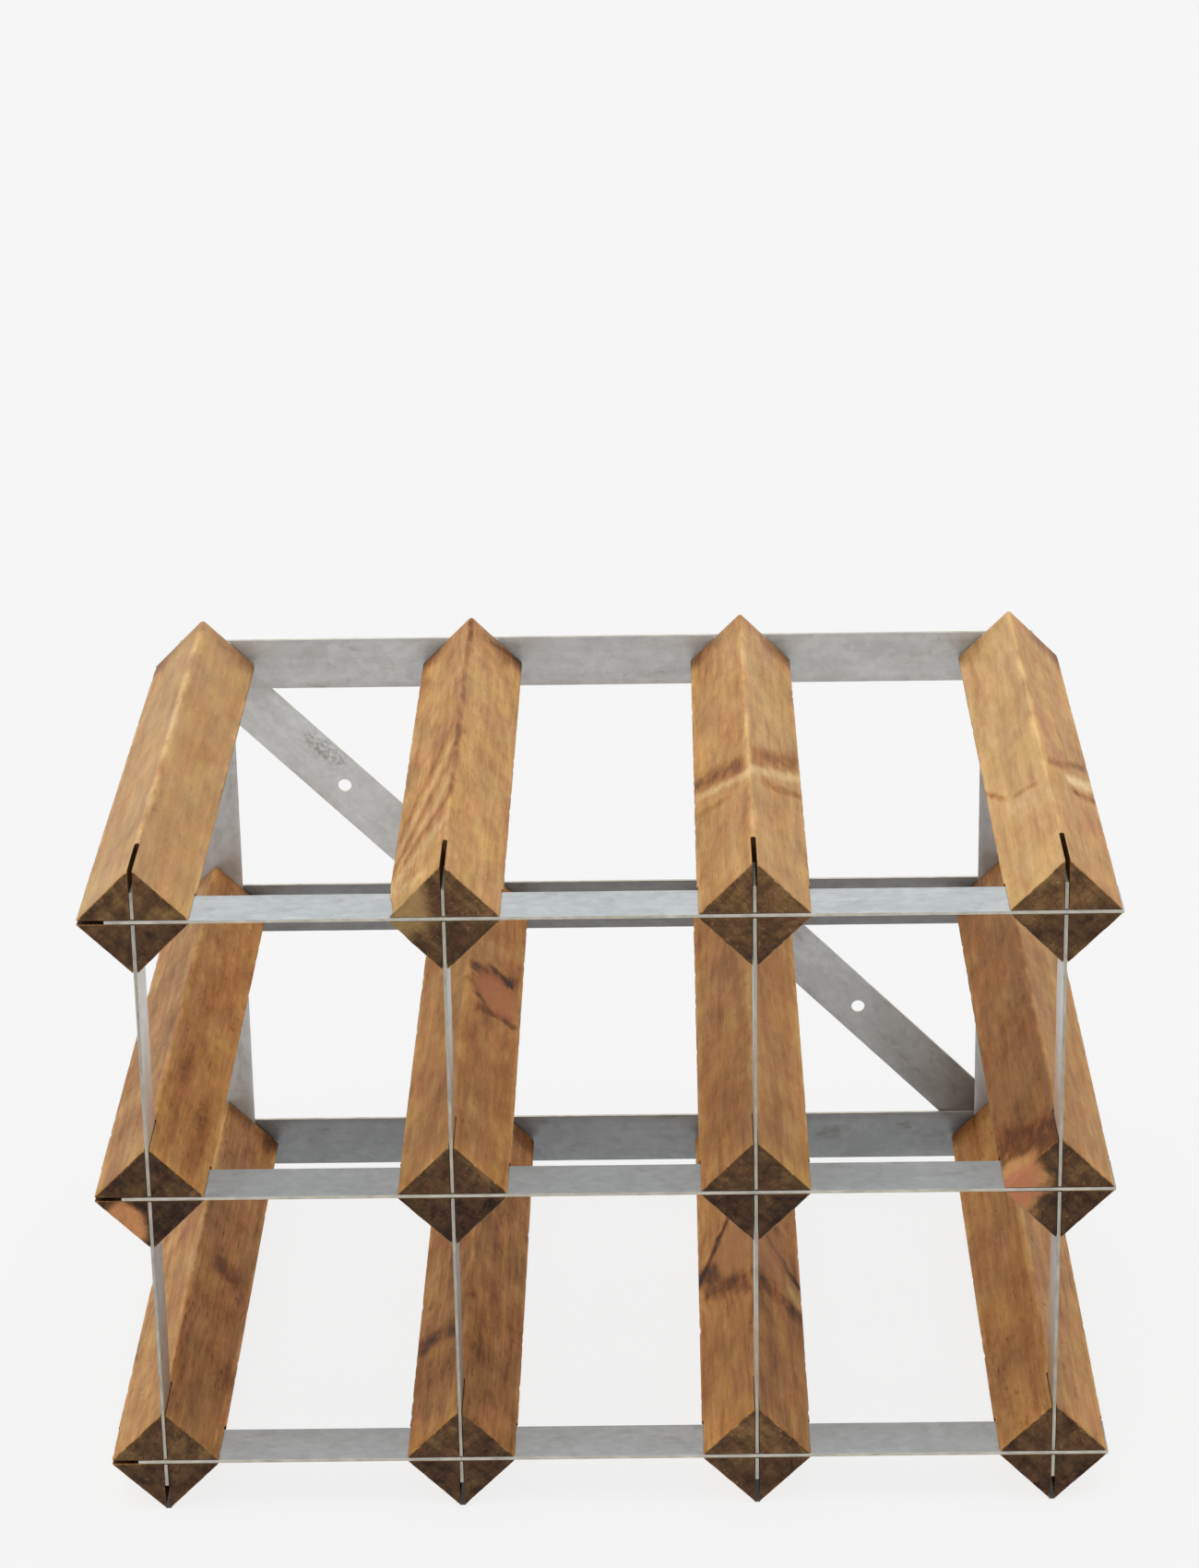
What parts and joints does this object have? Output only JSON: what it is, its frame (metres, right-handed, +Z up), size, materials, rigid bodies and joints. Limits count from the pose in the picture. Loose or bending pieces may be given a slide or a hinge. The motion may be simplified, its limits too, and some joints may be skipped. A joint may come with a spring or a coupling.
{
  "type": "wine rack",
  "caption": "Low wine rack of square timber posts set on edge, joined front and back by flat steel strip, with diagonal wall braces behind.",
  "frame": {"origin": "centre of the footprint, level with the lowest post ridges the rack stands on", "axes": "+X to the right along the rails, +Y from the open front to the braced back, +Z up"},
  "size_m": [0.3304, 0.2286, 0.2324],
  "materials": {
    "pine": "brown-stained softwood, planed, matt",
    "galvanised_strip": "dull galvanised, lightly mottled",
    "nail_steel": "dull zinc"
  },
  "bodies": {
    "root": {"post_top_1": "pine", "post_top_2": "pine", "post_top_3": "pine", "post_top_4": "pine", "post_middle_1": "pine", "post_middle_2": "pine", "post_middle_3": "pine", "post_middle_4": "pine", "post_bottom_1": "pine", "post_bottom_2": "pine", "post_bottom_3": "pine", "post_bottom_4": "pine", "front_rail_top": "galvanised_strip", "front_rail_middle": "galvanised_strip", "front_rail_bottom": "galvanised_strip", "front_upright_1": "galvanised_strip", "front_upright_2": "galvanised_strip", "front_upright_3": "galvanised_strip", "front_upright_4": "galvanised_strip", "back_rail_top": "galvanised_strip", "back_rail_middle": "galvanised_strip", "back_rail_bottom": "galvanised_strip", "back_upright_1": "galvanised_strip", "back_upright_2": "galvanised_strip", "back_upright_3": "galvanised_strip", "back_upright_4": "galvanised_strip", "brace_upper": "galvanised_strip", "brace_lower": "galvanised_strip", "rail_nails": "nail_steel", "brace_nails": "nail_steel"}
  },
  "joints": []
}
